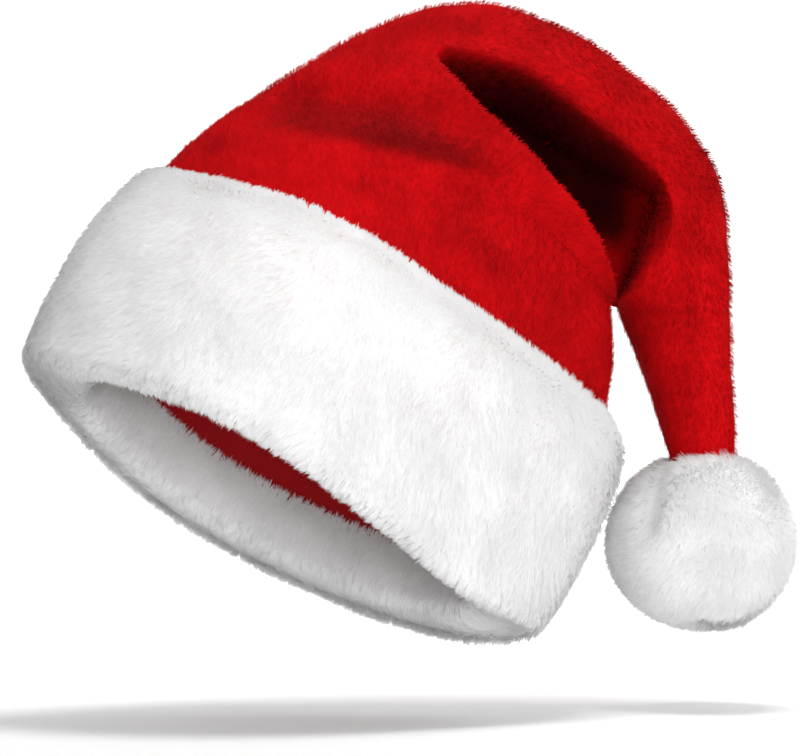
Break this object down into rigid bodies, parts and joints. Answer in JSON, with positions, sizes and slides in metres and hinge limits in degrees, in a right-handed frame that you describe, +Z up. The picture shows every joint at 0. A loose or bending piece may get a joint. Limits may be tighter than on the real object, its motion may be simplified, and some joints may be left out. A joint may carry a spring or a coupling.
{
  "type": "santa hat",
  "caption": "Soft red plush hat that folds over above a deep pocket, with a hanging tail, a white fur pompom on its tip and a wide fur cuff turned up round the rim.",
  "frame": {"origin": "middle of the mouth, in the plane of the rim", "axes": "+Z up, the tail hangs plumb along -Z; +X to the side that the tail hangs on, along the hat's width; -Y towards the viewer's side, where the pocket under the fold is. The mouth leans 30.5 degrees down to +X and 22 degrees up in front, as on a tilted head"},
  "size_m": [0.3752, 0.2117, 0.311],
  "materials": {
    "red_plush": "short brushed pile, dull with a soft sheen",
    "red_lining": "thin fine-ribbed knit, dull",
    "white_fur": "long soft pile, matt"
  },
  "bodies": {
    "root": {"crown": "red_plush", "lining": "red_lining", "cuff": "white_fur", "pompom": "white_fur"}
  },
  "joints": []
}
